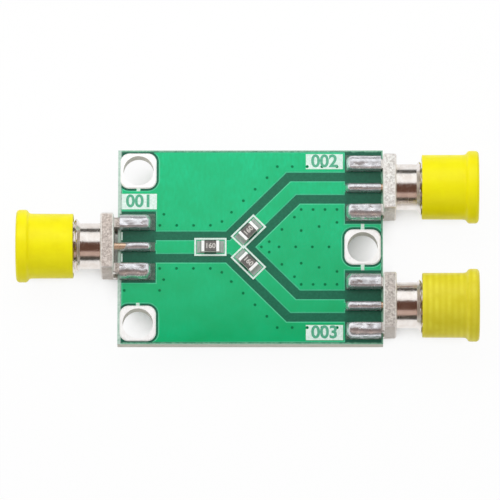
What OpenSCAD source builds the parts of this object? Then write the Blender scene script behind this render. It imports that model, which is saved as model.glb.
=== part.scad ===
// A resistive splitter for radio signals: a small board with three chip resistors in a star, and
// three coaxial edge connectors under push-on dust caps. The board's middle is at x = 0 and y = 0,
// and the part lies on the rims of its caps at z = 0. Port A points to -X, ports B and C to +X.

/* [Board] */
// Length of the board, between the connector edges
board_l = 30; // [28:0.5:36]
// Width of the board
board_w = 22.5; // [21.5:0.5:28]
// Thickness of the bare laminate
board_t = 1.6; // [1:0.1:1.7]
// Thickness of the copper with its solder mask
copper_t = 0.06; // [0.04:0.01:0.1]
// Bare strip between the copper and the board's edges
edge_strip = 0.22; // [0.2:0.02:0.3]
// The same strip along the edge at port A
edge_strip_a = 0.4; // [0.3:0.02:0.46]
// Thickness of the tin on bare copper
tin_t = 0.04; // [0.02:0.01:0.06]

/* [Mounting holes] */
// Diameter of the plated screw holes
hole_d = 3.2; // [2.7:0.1:3.4]
// Distance of a hole's middle from the board's end
hole_inset = 2.3; // [2.3:0.05:2.45]
// Distance of a corner hole's middle from the board's side
hole_side = 2.4; // [2.3:0.05:2.45]
// Side of the tinned pad round a hole
hole_pad = 4.1; // [3.9:0.1:4.2]
// Corner radius of that pad
hole_pad_r = 1; // [0.4:0.1:1.4]
// Gap between that pad and the ground copper
hole_gap = 0.25; // [0.2:0.05:0.3]
// Width of the copper spokes across the gap
spoke_w = 0.5; // [0.3:0.1:0.8]
// Thickness of the copper and tin in the hole
plating_t = 0.16; // [0.16:0.01:0.2]

/* [Traces] */
// Width of the signal traces
trace_w = 1.6; // [1.4:0.05:1.7]
// Bare gap on both sides of a trace
trace_gap = 1; // [0.6:0.1:1.2]
// Place of the star junction along X
star_x = -2; // [-3:0.25:-1]
// Distance between the axes of ports B and C
port_pitch = 13.7; // [12.8:0.1:13.8]

/* [Connector footprint] */
// Length of the bare field round a connector's pads
foot_l = 4.3; // [4.2:0.1:5]
// Width of that field
foot_w = 8.3; // [7.9:0.1:8.4]
// Length of the pads
pad_l = 4; // [3.8:0.1:4]
// Width of the pad under a leg
pad_w = 1.8; // [1.4:0.05:1.9]
// How far a leg's pad reaches inwards past the leg
pad_lip = 0.05; // [0:0.01:0.2]
// Least gap between a leg's pad and the ground copper
pad_gap = 0.08; // [0.05:0.01:0.1]
// Width of the pad under the centre pin
signal_pad_w = 0.95; // [0.85:0.05:1.3]

/* [Ground vias] */
// Diameter of the dimple over a via
via_d = 0.36; // [0.2:0.02:0.5]
// Distance of the straight via rows from the edge of the ground copper
via_inset = 0.7; // [0.5:0.05:1]
// Distance of the slanted outer via rows from the edge of the ground copper
via_outer_inset = 1.15; // [0.6:0.05:1.4]
// Clear end of a straight via row, before the next corner
via_row_end = 0.9; // [0.6:0.05:1.2]
// Clear end of a slanted outer via row
via_outer_end = 2; // [1.5:0.1:2.5]
// Clear end of a slanted inner via row
via_inner_end = 1.55; // [1.2:0.05:2]
// Distance of the field's via rows from the middle line, at the bend
via_field_near = 1.9; // [1.4:0.1:2.2]
// The same distance at the connector footprint
via_field_far = 2.85; // [2.4:0.05:3.2]

/* [Resistors] */
// Length of a chip resistor
chip_l = 2; // [1.8:0.05:2.2]
// Width of a chip resistor
chip_w = 1.25; // [1:0.05:1.35]
// Height of a chip resistor
chip_h = 0.5; // [0.4:0.05:0.65]
// Length of the metal ends on the chip's faces
terminal_l = 0.33; // [0.2:0.01:0.4]
// Thickness of the metal ends
terminal_t = 0.04; // [0.02:0.01:0.06]
// Thickness of the dark coat on the chip's top
coat_t = 0.06; // [0.04:0.01:0.1]
// Distance of a chip's middle from the star junction
chip_offset = 2.52; // [2.45:0.01:2.8]
// How far a chip's pad reaches past its end
chip_toe = 0.54; // [0.5:0.02:0.7]
// Width of a chip's pads
chip_pad_w = 1.4; // [1.36:0.02:1.4]
// Size of the solder fillet at a chip's ends
chip_fillet = 0.38; // [0.2:0.02:0.4]

/* [Connectors] */
// Side of the square flange
flange_w = 6.35; // [6.2:0.05:6.5]
// Thickness of the flange
flange_t = 1.5; // [1:0.1:2]
// Broken edge all round the flange
flange_chamfer = 0.16; // [0.05:0.01:0.25]
// Diameter of the plain neck
neck_d = 5.2; // [5:0.1:5.8]
// Length of the plain neck
neck_l = 2.3; // [1.5:0.1:3]
// Length of the cone between the neck and the thread
run_out_l = 0.5; // [0.3:0.05:0.8]
// Outer diameter of the thread
thread_d = 6.35; // [6.2:0.05:6.5]
// Length of the thread
thread_l = 5.3; // [4.5:0.1:6]
// Chamfer at the thread's tip
tip_chamfer = 0.3; // [0.1:0.05:0.5]
// Diameter of the bore's mouth
mouth_d = 4.6; // [4.3:0.05:4.8]
// Depth of the mouth down to the insulator
mouth_depth = 1.9; // [1.5:0.1:2.5]
// Diameter of the insulator's bore
insulator_d = 4.1; // [3.9:0.05:4.2]
// Radial clearance of the pressed pieces in the bore
press_clear = 0.01; // [0.005:0.005:0.03]
// Length of a leg behind the flange
leg_l = 4; // [3.6:0.1:4]
// Width of a leg
leg_w = 1.1; // [0.9:0.05:1.3]
// Thickness of a leg
leg_t = 0.95; // [0.8:0.05:0.95]
// Solder film between a leg and its pad
leg_film = 0.05; // [0.02:0.01:0.08]
// Lead-in at a leg's free end
leg_chamfer = 0.25; // [0.1:0.05:0.4]
// Gap between the board and port A's flange
port_a_gap = 0.4; // [0:0.05:0.5]

/* [Centre contacts] */
// Diameter of the contact in the insulator
contact_d = 1.27; // [1.2:0.01:1.4]
// Diameter of the socket's hole
socket_d = 0.93; // [0.9:0.01:0.96]
// Depth of the socket's hole
socket_depth = 3; // [2.5:0.1:3.5]
// Width of the slots between the socket's fingers
slot_w = 0.2; // [0.1:0.02:0.3]
// Length of those slots
slot_l = 2.5; // [2:0.1:2.8]
// Diameter of the pin over the board
pin_d = 0.76; // [0.6:0.02:0.8]
// Length of the pin behind the flange
pin_l = 4; // [3.5:0.1:4]
// Chamfer at the pin's end
pin_chamfer = 0.12; // [0.05:0.01:0.2]
// Solder film between the pin and its pad
pin_film = 0.02; // [0.01:0.01:0.05]

/* [Solder joints] */
// Solder on top of a leg
leg_cover = 0.1; // [0.06:0.01:0.2]
// Height of a leg joint's sides at the pad's edge
leg_joint_side = 0.2; // [0.1:0.05:0.4]
// Height of a leg joint at its two ends
leg_joint_end = 0.5; // [0.3:0.05:0.8]
// Solder on top of the centre pin
pin_cover = 0.08; // [0.05:0.01:0.15]
// Height of a pin joint's sides at the pad's edge
pin_joint_side = 0.3; // [0.2:0.05:0.4]
// Height of a pin joint at its two ends
pin_joint_end = 0.35; // [0.2:0.05:0.6]

/* [Dust caps] */
// Length of a cap
cap_l = 6.45; // [6:0.05:6.6]
// Wall of a cap
cap_wall = 0.43; // [0.3:0.01:0.5]
// Thickness of its closed end
cap_end = 0.6; // [0.4:0.05:1]
// Radial clearance on the thread
cap_clear = 0.06; // [0.04:0.01:0.1]
// Free length between the barrel's tip and the closed end
cap_gap = 0.65; // [0.3:0.05:1]
// How much further out port A's cap sits
cap_a_out = 0.2; // [0:0.05:0.6]
// How far the grip rim stands out of the wall
rim_proud = 0.45; // [0.3:0.05:0.8]
// Width of the grip rim
rim_w = 1.4; // [1:0.1:1.8]
// Rounding of the grip rim
rim_r = 0.4; // [0.1:0.05:0.45]

/* [White ink] */
// Thickness of the ink
ink_t = 0.03; // [0.02:0.01:0.05]
// Width of the lines round the resistors
ink_line = 0.2; // [0.15:0.01:0.25]
// Gap between the ends of a resistor's pads and its line
ink_gap = 0.08; // [0.05:0.01:0.15]
// Gap between the sides of a resistor's pads and its line
ink_side_gap = 0.14; // [0.05:0.01:0.2]
// Length of a port's label box
label_l = 4.2; // [3:0.1:4.2]
// Width of port A's label box
label_w = 1.8; // [1.2:0.1:1.8]
// Gap between the label boxes of ports B and C and the outer edge of the ground copper
label_margin = 0.23; // [0.1:0.01:0.4]
// Gap between a label box and the footprint beside it
label_gap = 0.22; // [0.15:0.01:0.6]
// Gap between the label boxes of ports B and C and the channel beside them
label_space = 0.4; // [0.3:0.05:0.6]
// Length of the dashes at port A
dash_l = 0.93; // [0.6:0.01:1]
// Width of those dashes
dash_w = 0.16; // [0.08:0.01:0.2]

/* [Hidden] */
$fn = 64;
EPS = 0.01;

PORTS = ["a", "b", "c"];
PORT_PIECES = ["body", "dielectric", "contact", "cap", "pads", "ground_solder", "signal_solder"];
CHIP_PIECES = ["ceramic", "terminals", "overcoat", "solder"];
HOLES = ["upper_left", "lower_left", "right"];
BOARD_PIECES = ["board_laminate", "top_ground_pour", "bottom_ground_plane",
                "star_junction_trace", "silkscreen"];

LAMINATE = [0.17, 0.36, 0.29];
MASK = [0.17, 0.72, 0.48];
TIN = [0.86, 0.86, 0.85];
SOLDER = [0.78, 0.77, 0.78];
NICKEL = [0.76, 0.73, 0.70];
GOLD = [0.83, 0.68, 0.38];
PTFE = [0.95, 0.94, 0.90];
YELLOW = [0.92, 0.88, 0.10];
WHITE = [0.96, 0.97, 0.95];
ALUMINA = [0.90, 0.89, 0.86];
COAT = [0.10, 0.10, 0.10];

edge_x = board_l / 2;
edge_y = board_w / 2;
port_y = port_pitch / 2;
foot_x = edge_x - foot_l;

// Sizes that follow from the fits
tip_x = flange_t + neck_l + run_out_l + thread_l;
seat_x = tip_x - mouth_depth;
leg_y = (flange_w - leg_w) / 2;
pad_y = leg_y - leg_w / 2 - pad_lip + pad_w / 2;
pad_x = -edge_strip - pad_l / 2;
cap_bore_d = thread_d + 2 * cap_clear;
cap_d = cap_bore_d + 2 * cap_wall;
rim_d = cap_d + 2 * rim_proud;
cap_x = tip_x + cap_gap + cap_end - cap_l;

// Heights above the surface that the cap rims lie on
axis_z = rim_d / 2;
copper_top = axis_z - pin_d / 2 - pin_film;
board_top = copper_top - copper_t;
board_bottom = board_top - board_t;
copper_bottom = board_bottom - copper_t;

// The traces bend by half a right angle, so a corner moves by this share of its offset
bend_share = tan(22.5);
bend_x = star_x + port_y;
channel_half = trace_w / 2 + trace_gap;
slant = [1, 1] / sqrt(2);
outward = [-1, 1] / sqrt(2);
terminal_x = chip_l / 2 - terminal_l;

function port_side(p) = p == "a" ? -1 : 1;
function port_offset(p) = p == "a" ? 0 : p == "b" ? port_y : -port_y;
function port_gap(p) = p == "a" ? port_a_gap : 0;
function cap_out(p) = p == "a" ? cap_a_out : 0;
function star_turn(p) = p == "a" ? 180 : p == "b" ? 45 : -45;
function hole_place(h) =
    h == "right" ? [edge_x - hole_inset, 0]
    : [-edge_x + hole_inset, (h == "upper_left" ? 1 : -1) * (edge_y - hole_side)];

// Corners of a trace's outline, or of its bare channel, at half its width from the middle line
function outer_corner(half) = [star_x - half * bend_share, half];
function outer_bend(half) = [bend_x - half * bend_share, port_y + half];
function inner_bend(half) = [bend_x + half * bend_share, port_y - half];
function fork(half) = [star_x + half * sqrt(2), 0];
function flipped(v) = [v.x, -v.y];

// A circle's radius from half a chord and the height over it
function arc_radius(half, rise) = (half * half + rise * rise) / (2 * rise);

// Evenly spaced points from one place to another
function row(from, to, count) = [for (i = [0 : count - 1]) from + (to - from) * i / (count - 1)];

// The vias of the upper half; the lower half mirrors them
row_y = channel_half + via_inset;
row_from = bend_x + via_row_end;
row_to = foot_x - via_row_end;
outer_from = outer_corner(channel_half) + via_outer_inset * outward;
outer_l = norm(outer_bend(channel_half) - outer_corner(channel_half));
inner_from = fork(channel_half) + via_inset * flipped(slant);
inner_l = norm(inner_bend(channel_half) - fork(channel_half));
VIA_ROWS = concat(
    row([-foot_x + via_row_end / 2, row_y], [star_x - chip_offset, row_y], 4),
    [outer_corner(channel_half) + via_outer_inset * [-bend_share, 1]],
    row(outer_from + via_outer_end * slant, outer_from + (outer_l - via_outer_end) * slant, 4),
    row([bend_x - 2 * via_row_end, port_y + row_y], [row_to, port_y + row_y], 5),
    row(inner_from + via_inner_end * slant, inner_from + (inner_l - via_inner_end) * slant, 3),
    row([row_from, port_y - row_y], [row_to, port_y - row_y], 4),
    row([row_from, via_field_near], [row_to, via_field_far], 3),
    [[-foot_x + via_row_end, foot_w / 2 - via_d]]);

// The vias on the middle line, and two beside port A's footprint
VIA_MIDDLE = concat(
    [fork(channel_half) + [via_inset, 0]],
    row(fork(channel_half) + [3 * via_row_end, 0], [foot_x - 2 * via_row_end, 0], 4),
    [for (x = [-edge_x + edge_strip_a + via_d, -foot_x + via_row_end / 2])
        [x, -foot_w / 2 - via_row_end]]);
VIAS = concat(VIA_ROWS, [for (v = VIA_ROWS) flipped(v)], VIA_MIDDLE);

// Children drawn with +X out of the board at a port, from the board's edge
module at_edge(p) {
    translate([port_side(p) * edge_x, port_offset(p)])
        rotate(p == "a" ? 180 : 0)
            children();
}

// Children drawn from the middle of a connector's back face, +X along its axis
module at_port(p) {
    translate([0, 0, axis_z])
        at_edge(p)
            translate([port_gap(p), 0])
                children();
}

// Children drawn from the middle of a port's resistor, +X away from the star
module at_chip(p) {
    translate([star_x, 0])
        rotate(star_turn(p))
            translate([chip_offset, 0])
                children();
}

module rounded_square(side, r) {
    square([side - 2 * r, side], center = true);
    square([side, side - 2 * r], center = true);
    for (x = [-1, 1], y = [-1, 1])
        translate([x, y] * (side / 2 - r))
            circle(r);
}

// A box with all its edges broken, as three crossing prisms
module broken_box(size, c) {
    intersection() {
        broken_prism(size.x, size.y, size.z, c);
        rotate([90, 0, 0])
            broken_prism(size.x, size.z, size.y, c);
        rotate([0, 90, 0])
            broken_prism(size.z, size.y, size.x, c);
    }
}

module broken_prism(x, y, h, c) {
    linear_extrude(h, center = true)
        polygon([[-x / 2 + c, -y / 2], [x / 2 - c, -y / 2], [x / 2, -y / 2 + c], [x / 2, y / 2 - c],
                 [x / 2 - c, y / 2], [-x / 2 + c, y / 2], [-x / 2, y / 2 - c], [-x / 2, -y / 2 + c]]);
}

// A profile of radius and length, turned about the X axis
module turned() {
    rotate([0, 90, 0])
        rotate_extrude()
            children();
}

// Flat copper on the top face, and on the underside
module top_copper() {
    translate([0, 0, board_top])
        linear_extrude(copper_t)
            children();
}

module bottom_copper() {
    translate([0, 0, copper_bottom])
        linear_extrude(copper_t)
            children();
}

// The bare channel that carries the three traces
module channel_outline() {
    upper = [[-edge_x, channel_half], outer_corner(channel_half), outer_bend(channel_half),
             [edge_x, port_y + channel_half], [edge_x, port_y - channel_half], inner_bend(channel_half)];
    lower = [for (i = [len(upper) - 1 : -1 : 0]) flipped(upper[i])];
    polygon(concat(upper, [fork(channel_half)], lower));
}

// The bare field of a connector's pads, which at ports B and C runs out over the board's side
module foot_outline(p) {
    at_edge(p) {
        translate([-foot_l, -foot_w / 2])
            square([foot_l + EPS, foot_w]);
        if (p != "a")
            translate([-foot_l, p == "b" ? 0 : -edge_y])
                square([foot_l + EPS, edge_y]);
    }
}

// The gap round a screw pad, with a spoke wherever there is copper beyond it. A pad in the
// board's corner has no copper between it and the corner.
module hole_gap_outline(h) {
    place = hole_place(h);
    gap_end = hole_pad / 2 + hole_gap;
    translate(place) {
        difference() {
            rounded_square(2 * gap_end, hole_pad_r + hole_gap);
            for (side = [-1, 1])
                if (abs(place.y + side * gap_end) < edge_y - edge_strip)
                    translate([-spoke_w / 2, side > 0 ? hole_pad / 2 : -gap_end])
                        square([spoke_w, hole_gap]);
        }
        if (place.y != 0)
            translate([-hole_inset, place.y > 0 ? 0 : -hole_side])
                square([hole_inset, hole_side]);
    }
}

// The board's face within its bare strips
module copper_outline() {
    translate([-edge_x + edge_strip_a, -edge_y + edge_strip])
        square([board_l - edge_strip_a - edge_strip, board_w - 2 * edge_strip]);
}

module ground_outline() {
    difference() {
        copper_outline();
        for (h = HOLES)
            hole_gap_outline(h);
        via_outline();
    }
}

module via_outline() {
    for (v = VIAS)
        translate(v)
            circle(d = via_d, $fn = 24);
}

module pour_outline() {
    difference() {
        ground_outline();
        channel_outline();
        for (p = PORTS) {
            foot_outline(p);
            at_edge(p)
                leg_pad_outline(pad_gap);
        }
    }
}

module leg_pad_outline(gap = 0) {
    for (side = [-1, 1])
        translate([pad_x, side * pad_y])
            square([pad_l + 2 * gap, pad_w + 2 * gap], center = true);
}

// The end of a trace at its connector, where it narrows to the pad under the pin
function trace_end(y) =
    let (half = trace_w / 2, narrow = signal_pad_w / 2, end = edge_x - edge_strip)
    [[foot_x, y + half], [foot_x, y + narrow], [end, y + narrow],
     [end, y - narrow], [foot_x, y - narrow], [foot_x, y - half]];

// A trace from the outer end of its resistor to the connector
module trace_outline(p) {
    half = trace_w / 2;
    chip_end = chip_offset + terminal_x;
    start = [star_x, 0] + chip_end * slant;
    if (p == "a")
        mirror([1, 0])
            polygon(concat([[chip_end - star_x, half]], trace_end(0), [[chip_end - star_x, -half]]));
    else
        mirror([0, p == "c" ? 1 : 0])
            polygon(concat([start + half * outward, outer_bend(half)], trace_end(port_y),
                           [inner_bend(half), start - half * outward]));
}

module star_outline() {
    for (p = PORTS)
        translate([star_x, 0])
            rotate(star_turn(p))
                translate([0, -trace_w / 2])
                    square([chip_offset - terminal_x, trace_w]);
}

module frame_outline() {
    inner = [chip_l + 2 * (chip_toe + ink_gap), chip_pad_w + 2 * ink_side_gap];
    difference() {
        square(inner + [2, 2] * ink_line, center = true);
        square(inner, center = true);
    }
}

// A port's label box. At ports B and C it fills the strip of ground copper beside the channel.
module label_outline(p) {
    inner = port_y + channel_half + label_space;
    outer = edge_y - edge_strip - label_margin;
    if (p == "a")
        translate([-edge_x + hole_inset - label_l / 2, foot_w / 2 + label_gap])
            square([label_l, label_w]);
    else
        translate([foot_x - label_gap - label_l, p == "b" ? inner : -outer])
            square([label_l, outer - inner]);
}

// The label boxes, kept within the bare strips, off the screw pads and open over the vias
module labels_outline() {
    difference() {
        intersection() {
            copper_outline();
            for (p = PORTS)
                label_outline(p);
        }
        for (h = HOLES)
            hole_gap_outline(h);
        via_outline();
    }
}

module dash_outline() {
    dash_y = (signal_pad_w / 2 + pad_y - pad_w / 2) / 2;
    for (side = [-1, 1])
        translate([-edge_x + edge_strip + 1.5 * dash_w, side * dash_y])
            square([dash_w, dash_l], center = true);
}

// The round top of a solder joint, over half its width and with upright sides
module joint_profile(width, height, side) {
    r = arc_radius(width / 2, height - side);
    intersection() {
        translate([-width / 2, 0])
            square([width, height]);
        union() {
            translate([-width / 2, 0])
                square([width, side]);
            translate([0, height - r])
                circle(r);
        }
    }
}

// A solder joint on a pad, rounded both along and across
module joint(length, width, height, side, end) {
    intersection() {
        rotate([90, 0, 90])
            linear_extrude(length, center = true)
                joint_profile(width, height, side);
        rotate([90, 0, 0])
            linear_extrude(width, center = true)
                joint_profile(length, height, end);
    }
}

module leg_joints() {
    for (side = [-1, 1])
        translate([pad_x, side * pad_y])
            joint(pad_l, pad_w, leg_film + leg_t + leg_cover, leg_joint_side, leg_joint_end);
}

// The four legs, from the middle of the flange's back face
module legs() {
    top = copper_top - axis_z + leg_film;
    bottom = copper_bottom - axis_z - leg_film;
    for (side = [-1, 1])
        translate([0, side * leg_y]) {
            translate([0, 0, top])
                leg();
            translate([0, 0, bottom])
                mirror([0, 0, 1])
                    leg();
        }
}

// One leg, which stands on its board face and tapers to its free end
module leg() {
    rotate([90, 0, 0])
        linear_extrude(leg_w, center = true)
            polygon([[-leg_l, 0], [flange_t / 2, 0], [flange_t / 2, leg_t],
                     [-leg_l + leg_chamfer, leg_t], [-leg_l, leg_t - leg_chamfer]]);
}

// The neck, run-out cone and threaded barrel, solid
module barrel() {
    run_out_x = flange_t + neck_l;
    turned()
        polygon([[0, flange_t / 2], [neck_d / 2, flange_t / 2], [neck_d / 2, run_out_x],
                 [thread_d / 2, run_out_x + run_out_l], [thread_d / 2, tip_x - tip_chamfer],
                 [thread_d / 2 - tip_chamfer, tip_x], [0, tip_x]]);
}

module board_laminate() {
    color(LAMINATE)
        difference() {
            translate([-edge_x, -edge_y, board_bottom])
                cube([board_l, board_w, board_t]);
            for (h = HOLES)
                translate(concat(hole_place(h), board_bottom - EPS))
                    cylinder(d = hole_d + 2 * plating_t, h = board_t + 2 * EPS);
        }
}

module top_ground_pour() {
    color(MASK)
        top_copper()
            pour_outline();
}

module bottom_ground_plane() {
    color(MASK)
        bottom_copper()
            difference() {
                ground_outline();
                for (p = PORTS)
                    at_edge(p)
                        leg_pad_outline();
            }
}

module star_junction_trace() {
    color(MASK)
        top_copper()
            star_outline();
}

module port_trace(p) {
    color(MASK)
        top_copper()
            trace_outline(p);
}

// The ink lies on the copper, and fills down to the laminate beside it
module silkscreen() {
    color(WHITE)
        difference() {
            translate([0, 0, board_top])
                linear_extrude(copper_t + ink_t) {
                    for (p = PORTS)
                        at_chip(p)
                            frame_outline();
                    dash_outline();
                    labels_outline();
                }
            top_copper() {
                pour_outline();
                star_outline();
                for (p = PORTS)
                    trace_outline(p);
            }
        }
}

// A tinned pad on both faces, joined by the plating of the hole
module mounting_pad(h) {
    color(TIN)
        translate(hole_place(h))
            difference() {
                union() {
                    translate([0, 0, board_top])
                        linear_extrude(copper_t + tin_t)
                            rounded_square(hole_pad, hole_pad_r);
                    translate([0, 0, board_bottom])
                        cylinder(d = hole_d + 2 * plating_t, h = board_t);
                    translate([0, 0, copper_bottom - tin_t])
                        linear_extrude(copper_t + tin_t)
                            rounded_square(hole_pad, hole_pad_r);
                }
                translate([0, 0, copper_bottom - tin_t - EPS])
                    cylinder(d = hole_d, h = board_t + 2 * (copper_t + tin_t + EPS));
            }
}

module port_body(p) {
    color(NICKEL)
        at_port(p)
            difference() {
                union() {
                    translate([flange_t / 2, 0, 0])
                        broken_box([flange_t, flange_w, flange_w], flange_chamfer);
                    barrel();
                    legs();
                }
                turned() {
                    translate([0, -EPS])
                        square([insulator_d / 2, seat_x + EPS]);
                    translate([0, seat_x - EPS])
                        square([mouth_d / 2, mouth_depth + 2 * EPS]);
                }
            }
}

module port_dielectric(p) {
    inner = contact_d / 2 + press_clear;
    color(PTFE)
        at_port(p)
            turned()
                translate([inner, 0])
                    square([insulator_d / 2 - press_clear - inner, seat_x]);
}

// A pin at the board, and a socket with four fingers at the mouth
module port_contact(p) {
    color(GOLD)
        at_port(p)
            difference() {
                turned()
                    polygon([[0, -pin_l], [pin_d / 2 - pin_chamfer, -pin_l],
                             [pin_d / 2, -pin_l + pin_chamfer], [pin_d / 2, 0], [contact_d / 2, 0],
                             [contact_d / 2, seat_x], [socket_d / 2, seat_x],
                             [socket_d / 2, seat_x - socket_depth], [0, seat_x - socket_depth]]);
                for (turn = [0, 90])
                    rotate([turn, 0, 0])
                        translate([seat_x - slot_l, -contact_d, -slot_w / 2])
                            cube([slot_l + EPS, 2 * contact_d, slot_w]);
            }
}

module port_cap(p) {
    rim_start = cap_l - rim_w;
    color(YELLOW)
        at_port(p)
            translate([cap_x + cap_out(p), 0, 0])
                turned()
                    difference() {
                        union() {
                            square([cap_d / 2, cap_l - rim_w / 2]);
                            translate([0, rim_start])
                                square([rim_d / 2 - rim_r, rim_w]);
                            translate([0, rim_start + rim_r])
                                square([rim_d / 2, rim_w - 2 * rim_r]);
                            for (y = [rim_start + rim_r, cap_l - rim_r])
                                translate([rim_d / 2 - rim_r, y])
                                    circle(rim_r);
                        }
                        translate([0, -EPS])
                            square([cap_bore_d / 2, cap_l - cap_end + EPS]);
                    }
}

module port_pads(p) {
    color(TIN)
        at_edge(p) {
            top_copper()
                leg_pad_outline();
            bottom_copper()
                leg_pad_outline();
        }
}

module port_ground_solder(p) {
    color(SOLDER)
        difference() {
            at_edge(p) {
                translate([0, 0, copper_top])
                    leg_joints();
                translate([0, 0, copper_bottom])
                    mirror([0, 0, 1])
                        leg_joints();
            }
            at_port(p)
                legs();
        }
}

module port_signal_solder(p) {
    height = pin_film + pin_d + pin_cover;
    color(SOLDER)
        difference() {
            at_edge(p)
                translate([pad_x, 0, copper_top])
                    joint(pad_l, signal_pad_w, height, pin_joint_side, pin_joint_end);
            at_port(p)
                rotate([0, -90, 0])
                    cylinder(d = pin_d, h = pin_l);
        }
}

module resistor_ceramic(p) {
    size = [chip_l - 2 * terminal_t, chip_w, chip_h - 2 * terminal_t];
    color(ALUMINA)
        translate([0, 0, copper_top + tin_t + terminal_t])
            at_chip(p)
                translate([-size.x / 2, -size.y / 2])
                    cube(size);
}

// The two metal ends fold round the chip's end from its top to its underside
module resistor_terminals(p) {
    color(TIN)
        translate([0, 0, copper_top + tin_t])
            at_chip(p)
                for (turn = [0, 180])
                    rotate(turn)
                        rotate([90, 0, 0])
                            linear_extrude(chip_w, center = true)
                                difference() {
                                    translate([terminal_x, 0])
                                        square([terminal_l, chip_h]);
                                    translate([0, terminal_t])
                                        square([chip_l / 2 - terminal_t, chip_h - 2 * terminal_t]);
                                }
}

module resistor_overcoat(p) {
    size = [2 * terminal_x, chip_w, coat_t];
    color(COAT)
        translate([0, 0, copper_top + tin_t + chip_h - terminal_t])
            at_chip(p)
                translate([-size.x / 2, -size.y / 2])
                    cube(size);
}

// A tinned pad under each end, with a hollow fillet up the end's face
module resistor_solder(p) {
    lip = 0.02;
    color(SOLDER)
        translate([0, 0, copper_top])
            at_chip(p)
                for (turn = [0, 180])
                    rotate(turn) {
                        translate([terminal_x, -chip_pad_w / 2])
                            cube([terminal_l + chip_toe, chip_pad_w, tin_t]);
                        translate([chip_l / 2, 0])
                            rotate([90, 0, 0])
                                linear_extrude(chip_w, center = true)
                                    difference() {
                                        square([chip_fillet, tin_t + chip_fillet]);
                                        translate([chip_fillet + lip, tin_t + chip_fillet + lip])
                                            circle(chip_fillet);
                                    }
                    }
}

board_laminate();
top_ground_pour();
bottom_ground_plane();
star_junction_trace();
silkscreen();
for (h = HOLES)
    mounting_pad(h);
for (p = PORTS) {
    port_trace(p);
    port_body(p);
    port_dielectric(p);
    port_contact(p);
    port_cap(p);
    port_pads(p);
    port_ground_solder(p);
    port_signal_solder(p);
    resistor_ceramic(p);
    resistor_terminals(p);
    resistor_overcoat(p);
    resistor_solder(p);
}
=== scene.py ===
import math

import bmesh
import bpy
from mathutils import Matrix, Vector, noise

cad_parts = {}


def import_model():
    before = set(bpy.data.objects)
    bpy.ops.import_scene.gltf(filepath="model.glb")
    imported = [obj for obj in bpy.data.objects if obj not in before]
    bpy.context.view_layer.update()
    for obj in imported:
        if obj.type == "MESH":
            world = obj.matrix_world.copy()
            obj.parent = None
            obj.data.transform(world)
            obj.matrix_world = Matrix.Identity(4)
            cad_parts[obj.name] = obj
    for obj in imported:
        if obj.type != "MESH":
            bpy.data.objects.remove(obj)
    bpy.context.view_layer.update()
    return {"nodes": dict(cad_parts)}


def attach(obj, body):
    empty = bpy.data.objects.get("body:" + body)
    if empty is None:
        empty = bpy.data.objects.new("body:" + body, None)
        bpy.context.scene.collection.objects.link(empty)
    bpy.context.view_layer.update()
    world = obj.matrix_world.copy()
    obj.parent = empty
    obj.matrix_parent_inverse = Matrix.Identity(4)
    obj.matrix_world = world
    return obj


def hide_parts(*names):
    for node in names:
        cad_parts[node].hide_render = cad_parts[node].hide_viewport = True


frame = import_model()
nodes = frame["nodes"]
scene = bpy.context.scene
scene.view_settings.view_transform = "Standard"

# Sizes are in millimetres, as the solids have them
MM = 0.001

# Board; its height follows from the rims of the caps, which the part lies on
RIM_R = 4.115
AXIS_Z = RIM_R
AXIS_TO_COPPER = 0.4
COPPER_T = 0.06
BOARD_T = 1.6
COPPER_TOP = AXIS_Z - AXIS_TO_COPPER
BOARD_TOP = COPPER_TOP - COPPER_T
BOARD_BOTTOM = BOARD_TOP - BOARD_T
COPPER_BOTTOM = BOARD_BOTTOM - COPPER_T
EDGE_X = 15.0
EDGE_Y = 11.25
PORT_Y = 6.85
PORT_A_GAP = 0.4
STAR_X = -2.0

# Pale strip along the laminate's edges, wider at port A, and the darker fields under the connectors,
# which fade in from one distance to the other from the middle
PALE_W = 0.2
PALE_W_A = 0.4
FIELD_START = 10.5
FIELD_FULL = 11.0

# Connectors: places are along their own axis, from the back of the flange
FLANGE_T = 1.5
NECK_R = 2.6
NECK_END = 3.8
RUN_OUT_END = 4.3
THREAD_R = 3.175
THREAD_PITCH = 25.4 / 36
THREAD_DEPTH = 0.4
TIP_X = 9.6
TIP_CHAMFER = 0.3
MOUTH_R = 2.3
MOUTH_BEVEL = 0.12
SEAT_X = 7.7
BORE_R = 2.05
BARREL_ROOT = 0.4
BARREL_CUT = FLANGE_T + 0.004

# Legs and pins: corners further back than the first value are a leg's end, and heights are over copper
LEG_END_ZONE = 3.5
LEG_INNER = 2.075
LEG_TOP = 1.0
LEG_CUT = 0.35
PIN_TOP = 0.78

# Dust caps, along the connectors' axis
CAP_MOUTH = 4.4
CAP_END = 10.85
CAP_INNER_END = 10.25
CAP_R = 3.665
CAP_BORE_R = 3.235
CAP_LIP = 0.12
CAP_A_OUT = 0.2
RIM_START = 9.45
RIM_ROUND = 0.4

# Pads and solder
PAD_L = 4.0
PAD_W = 1.8
PAD_X = -2.22
PAD_Y = 2.925
BEAD_W = 1.05
LEG_HEAP_W = 1.9
LEG_HEAP_SHIFT = -0.05
SOLDER_FILM = 0.055
SOLDER_FOOT = 0.25
END_GAP = 0.02
END_GAP_A = 0.4
LEG_STEPS = (56, 26)
BEAD_STEPS = (56, 18)

# Ink and chips
INK_TOP = COPPER_TOP + 0.03
CHIP_OFFSET = 2.52
CHIP_TOP = COPPER_TOP + 0.04 + 0.52
PRINT_LIFT = 0.002
LABEL_SIZE = 2.0
CHIP_MARK_SIZE = 0.8
LABELS = {"a": (-12.6, 5.27), "b": (8.38, 9.93), "c": (8.38, -9.93)}
CHIP_TURNS = {"a": 180.0, "b": 45.0, "c": -45.0}

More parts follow.
